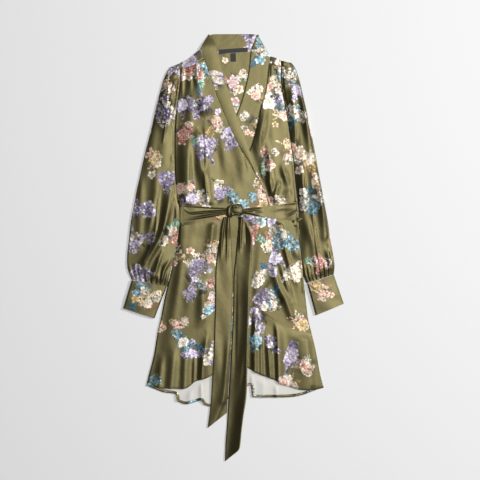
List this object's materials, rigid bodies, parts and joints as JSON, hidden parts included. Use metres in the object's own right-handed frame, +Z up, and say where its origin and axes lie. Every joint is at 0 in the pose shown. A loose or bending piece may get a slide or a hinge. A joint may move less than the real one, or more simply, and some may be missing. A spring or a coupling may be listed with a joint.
{
  "type": "wrap dress",
  "caption": "Long-sleeved wrap mini dress laid flat, with a shawl band neck, ruffled curved hem, full gathered sleeves, deep cuffs and a long knotted tie belt.",
  "frame": {"origin": "bottom centre of the bounding box, on the surface that the dress lies on", "axes": "+Y from hem to neck, +Z up out of the front of the dress, +X to the wearer's left"},
  "size_m": [0.596, 1.1551, 0.0225],
  "materials": {
    "print_satin": "soft satin in olive with a scattered floral print",
    "plain_satin": "soft satin in plain olive",
    "label_weave": "bare black woven tape"
  },
  "bodies": {
    "root": {"back_bodice": "print_satin", "back_skirt": "print_satin", "back_flounce": "print_satin", "back_neck_facing": "print_satin", "back_collar": "print_satin", "main_label": "label_weave", "size_tab": "label_weave", "front_band_left": "print_satin", "front_band_right": "print_satin", "front_bodice_right": "print_satin", "shoulder_yoke_right": "print_satin", "front_bodice_left": "print_satin", "shoulder_yoke_left": "print_satin", "front_skirt_left": "print_satin", "front_skirt_right": "print_satin", "flounce_left": "print_satin", "flounce_right": "print_satin", "sleeve_right": "print_satin", "sleeve_left": "print_satin", "cuff_right": "print_satin", "cuff_left": "print_satin", "belt_back": "plain_satin", "belt_front_right": "plain_satin", "belt_front_left": "plain_satin", "belt_knot": "plain_satin", "belt_tail_right": "plain_satin", "belt_tail_left": "plain_satin", "belt_loop_right": "plain_satin", "belt_loop_left": "plain_satin"}
  },
  "joints": []
}
